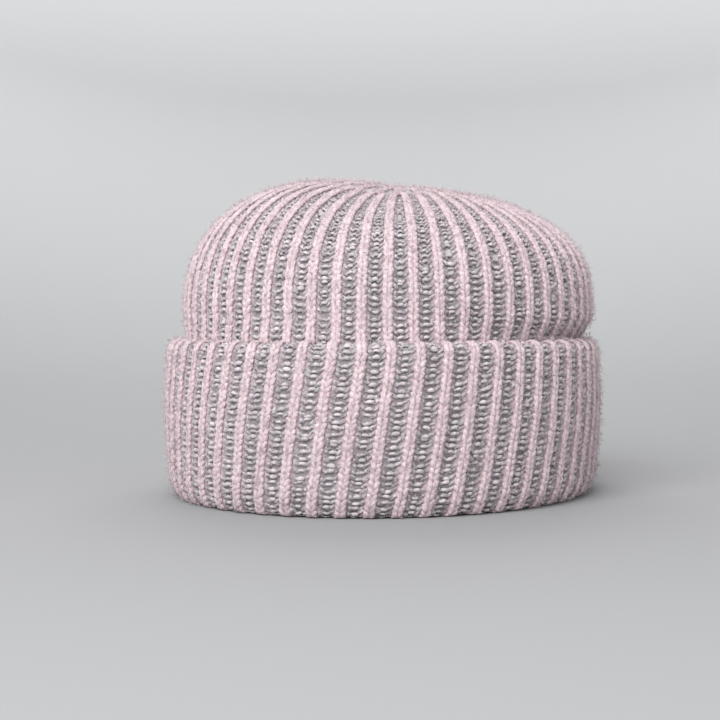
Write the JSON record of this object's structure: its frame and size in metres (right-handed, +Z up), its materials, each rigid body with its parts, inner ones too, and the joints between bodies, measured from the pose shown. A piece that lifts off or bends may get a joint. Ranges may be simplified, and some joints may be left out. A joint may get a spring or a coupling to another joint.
{
  "type": "ribbed knit beanie with turned-up cuff",
  "caption": "Hollow ribbed knit cap with a gathered crown and a thick turned-up cuff whose fold rolls under the rim, standing on its rim.",
  "frame": {"origin": "middle of the rim, on the surface that the hat stands on", "axes": "+Z up towards the gathered top, -Y towards the front of the hat, +X towards the right as seen from the front"},
  "size_m": [0.1934, 0.2306, 0.1389],
  "materials": {
    "pink_yarn": "soft brushed cashmere, pale pink",
    "grey_yarn": "soft brushed cashmere, heathered mid grey"
  },
  "bodies": {
    "root": {"crown": "pink_yarn", "cuff": "grey_yarn"}
  },
  "joints": []
}
